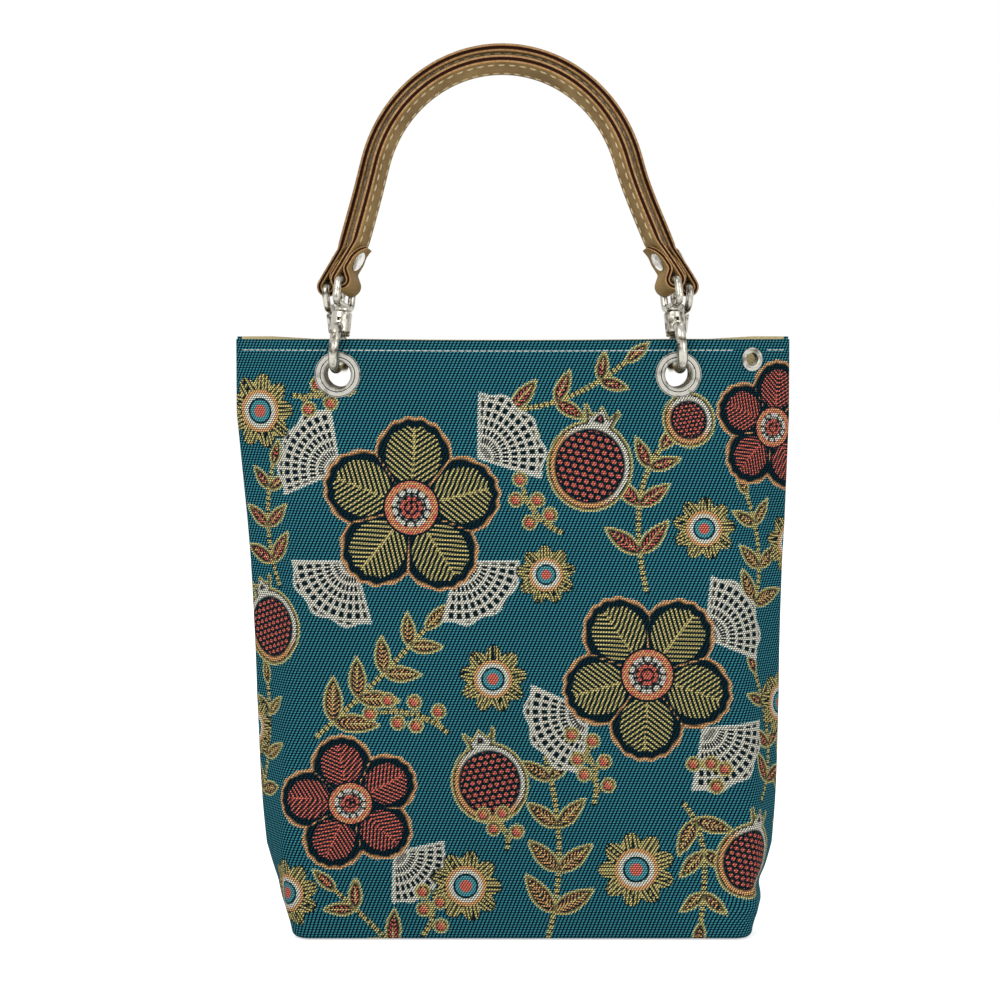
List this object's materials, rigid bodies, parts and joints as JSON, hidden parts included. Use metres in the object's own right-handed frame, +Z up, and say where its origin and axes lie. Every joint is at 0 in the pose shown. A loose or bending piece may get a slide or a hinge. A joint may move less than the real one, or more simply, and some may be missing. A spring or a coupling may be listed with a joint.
{
  "type": "clutch bag",
  "caption": "Open-topped woven bag with a boxed flat bottom, metal eyelets and arched leather handles that clip on with swivel snap hooks.",
  "frame": {"origin": "under the middle of the flat base, at the middle of the whole part's box in plan", "axes": "+Z up, -Y the front with the small eyelet, +X to the viewer's right seen from the front"},
  "size_m": [0.268, 0.0522, 0.4292],
  "materials": {
    "jacquard": "jacquard weave",
    "lining": "plain weave",
    "board": "matte",
    "leather": "satin",
    "leather_inner": "satin",
    "nickel": "antique nickel",
    "spring_steel": "plain"
  },
  "bodies": {
    "bag": {"back_left_eyelet": "nickel", "back_left_eyelet_washer": "nickel", "back_lining": "lining", "back_panel": "jacquard", "back_right_eyelet": "nickel", "back_right_eyelet_washer": "nickel", "base_board": "board", "charm_eyelet": "nickel", "charm_eyelet_washer": "nickel", "front_left_eyelet": "nickel", "front_left_eyelet_washer": "nickel", "front_lining": "lining", "front_panel": "jacquard", "front_right_eyelet": "nickel", "front_right_eyelet_washer": "nickel"},
    "front_handle": {"front_left_ring": "nickel", "front_left_rivet_cap": "nickel", "front_left_rivet_post": "nickel", "front_right_ring": "nickel", "front_right_rivet_cap": "nickel", "front_right_rivet_post": "nickel", "front_strap_inner": "leather_inner", "front_strap_outer": "leather"},
    "back_handle": {"back_left_ring": "nickel", "back_left_rivet_cap": "nickel", "back_left_rivet_post": "nickel", "back_right_ring": "nickel", "back_right_rivet_cap": "nickel", "back_right_rivet_post": "nickel", "back_strap_inner": "leather_inner", "back_strap_outer": "leather"},
    "back_left_gate": {"back_left_gate": "nickel"},
    "back_left_hook": {"back_left_gate_pin": "nickel", "back_left_gate_spring": "spring_steel", "back_left_hook": "nickel"},
    "back_right_gate": {"back_right_gate": "nickel"},
    "back_right_hook": {"back_right_gate_pin": "nickel", "back_right_gate_spring": "spring_steel", "back_right_hook": "nickel"},
    "front_left_gate": {"front_left_gate": "nickel"},
    "front_left_hook": {"front_left_gate_pin": "nickel", "front_left_gate_spring": "spring_steel", "front_left_hook": "nickel"},
    "front_right_gate": {"front_right_gate": "nickel"},
    "front_right_hook": {"front_right_gate_pin": "nickel", "front_right_gate_spring": "spring_steel", "front_right_hook": "nickel"}
  },
  "joints": [
    {"name": "front_handle_swing", "type": "hinge", "parent": "bag", "child": "front_handle", "pos_m": [0, -0.015, 0.2833], "axis": [-1, 0, 0], "range_deg": [-105, 0]},
    {"name": "back_handle_swing", "type": "hinge", "parent": "bag", "child": "back_handle", "pos_m": [0, 0.015, 0.2833], "axis": [1, 0, 0], "range_deg": [-105, 0]},
    {"name": "front_left_swivel", "type": "hinge", "parent": "front_handle", "child": "front_left_hook", "pos_m": [-0.0839, -0.015, 0.2833], "axis": [-0.1132, -0.2066, -0.9719], "range_deg": [-16, 0]},
    {"name": "front_left_gate_hinge", "type": "hinge", "parent": "front_left_hook", "child": "front_left_gate", "pos_m": [-0.08156, -0.0051, 0.29224], "axis": [-0.9839, 0.1594, 0.0807], "range_deg": [0, 14], "stiffness_Nm_per_rad": 0.01, "springref_deg": -5.73},
    {"name": "front_right_swivel", "type": "hinge", "parent": "front_handle", "child": "front_right_hook", "pos_m": [0.0791, -0.015, 0.2833], "axis": [-0.1132, 0.2066, 0.9719], "range_deg": [-16, 0]},
    {"name": "front_right_gate_hinge", "type": "hinge", "parent": "front_right_hook", "child": "front_right_gate", "pos_m": [0.07676, -0.0051, 0.29224], "axis": [-0.9839, -0.1594, -0.0807], "range_deg": [0, 14], "stiffness_Nm_per_rad": 0.01, "springref_deg": -5.73},
    {"name": "back_left_swivel", "type": "hinge", "parent": "back_handle", "child": "back_left_hook", "pos_m": [-0.0839, 0.015, 0.2833], "axis": [-0.1132, -0.2066, 0.9719], "range_deg": [-16, 0]},
    {"name": "back_left_gate_hinge", "type": "hinge", "parent": "back_left_hook", "child": "back_left_gate", "pos_m": [-0.08405, 0.00505, 0.29249], "axis": [0.9839, 0.1128, 0.1386], "range_deg": [0, 14], "stiffness_Nm_per_rad": 0.01, "springref_deg": -5.73},
    {"name": "back_right_swivel", "type": "hinge", "parent": "back_handle", "child": "back_right_hook", "pos_m": [0.0791, 0.015, 0.2833], "axis": [-0.1132, 0.2066, -0.9719], "range_deg": [-16, 0]},
    {"name": "back_right_gate_hinge", "type": "hinge", "parent": "back_right_hook", "child": "back_right_gate", "pos_m": [0.07925, 0.00505, 0.29249], "axis": [0.9839, -0.1128, -0.1386], "range_deg": [0, 14], "stiffness_Nm_per_rad": 0.01, "springref_deg": -5.73}
  ]
}
